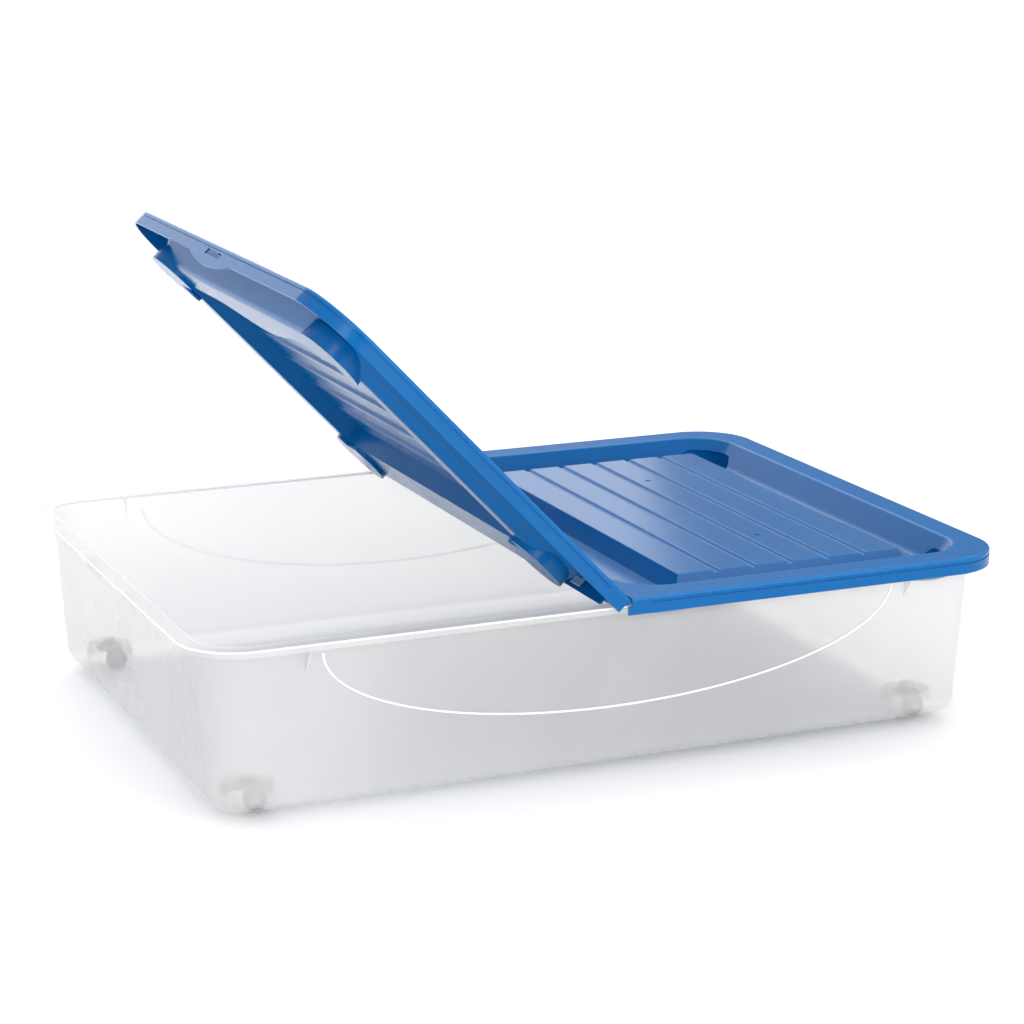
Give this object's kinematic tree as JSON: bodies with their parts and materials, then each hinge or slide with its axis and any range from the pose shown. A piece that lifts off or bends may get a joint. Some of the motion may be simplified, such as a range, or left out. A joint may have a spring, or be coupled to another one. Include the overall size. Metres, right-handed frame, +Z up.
{
  "type": "under bed storage box",
  "caption": "Low lidded storage tub on swivel casters, its lid in two halves hinged together across the middle, one half raised.",
  "frame": {"origin": "on the floor under the middle of the box, level with the bottoms of the wheels", "axes": "+X along the box's length towards the half of the lid that is closed, +Y across its width, +Z up"},
  "size_m": [0.787, 0.574, 0.4532],
  "materials": {
    "tub_plastic": "natural translucent polypropylene, satin",
    "lid_plastic": "blue polypropylene, semi-gloss, slightly translucent",
    "caster_plastic": "black moulded nylon",
    "caster_steel": "zinc plated steel pin",
    "wheel_plastic": "black moulded wheel"
  },
  "bodies": {
    "tub": {"tub": "tub_plastic"},
    "lid_right": {"lid_right": "lid_plastic"},
    "lid_left": {"lid_left": "lid_plastic"},
    "fork_left_front": {"caster_fork_left_front": "caster_plastic", "caster_stem_left_front": "caster_steel", "caster_axle_left_front": "caster_steel"},
    "wheel_left_front": {"caster_wheel_left_front": "wheel_plastic"},
    "fork_left_back": {"caster_fork_left_back": "caster_plastic", "caster_stem_left_back": "caster_steel", "caster_axle_left_back": "caster_steel"},
    "wheel_left_back": {"caster_wheel_left_back": "wheel_plastic"},
    "fork_right_front": {"caster_fork_right_front": "caster_plastic", "caster_stem_right_front": "caster_steel", "caster_axle_right_front": "caster_steel"},
    "wheel_right_front": {"caster_wheel_right_front": "wheel_plastic"},
    "fork_right_back": {"caster_fork_right_back": "caster_plastic", "caster_stem_right_back": "caster_steel", "caster_axle_right_back": "caster_steel"},
    "wheel_right_back": {"caster_wheel_right_back": "wheel_plastic"}
  },
  "joints": [
    {"name": "lid_lift", "type": "slide", "parent": "tub", "child": "lid_right", "axis": [0, 0, 1], "range_m": [0, 0.2]},
    {"name": "lid_fold", "type": "hinge", "parent": "lid_right", "child": "lid_left", "pos_m": [0, 0, 0.1668], "axis": [0, 1, 0], "range_deg": [-46.2, 48]},
    {"name": "swivel_left_front", "type": "hinge", "parent": "tub", "child": "fork_left_front", "pos_m": [-0.328, -0.218, 0.026], "axis": [0, 0, 1], "continuous": true},
    {"name": "roll_left_front", "type": "hinge", "parent": "fork_left_front", "child": "wheel_left_front", "pos_m": [-0.321, -0.218, 0.01], "axis": [0, 1, 0], "continuous": true},
    {"name": "swivel_left_back", "type": "hinge", "parent": "tub", "child": "fork_left_back", "pos_m": [-0.328, 0.218, 0.026], "axis": [0, 0, 1], "continuous": true},
    {"name": "roll_left_back", "type": "hinge", "parent": "fork_left_back", "child": "wheel_left_back", "pos_m": [-0.321, 0.218, 0.01], "axis": [0, 1, 0], "continuous": true},
    {"name": "swivel_right_front", "type": "hinge", "parent": "tub", "child": "fork_right_front", "pos_m": [0.328, -0.218, 0.026], "axis": [0, 0, 1], "continuous": true},
    {"name": "roll_right_front", "type": "hinge", "parent": "fork_right_front", "child": "wheel_right_front", "pos_m": [0.335, -0.218, 0.01], "axis": [0, 1, 0], "continuous": true},
    {"name": "swivel_right_back", "type": "hinge", "parent": "tub", "child": "fork_right_back", "pos_m": [0.328, 0.218, 0.026], "axis": [0, 0, 1], "continuous": true},
    {"name": "roll_right_back", "type": "hinge", "parent": "fork_right_back", "child": "wheel_right_back", "pos_m": [0.335, 0.218, 0.01], "axis": [0, 1, 0], "continuous": true}
  ]
}
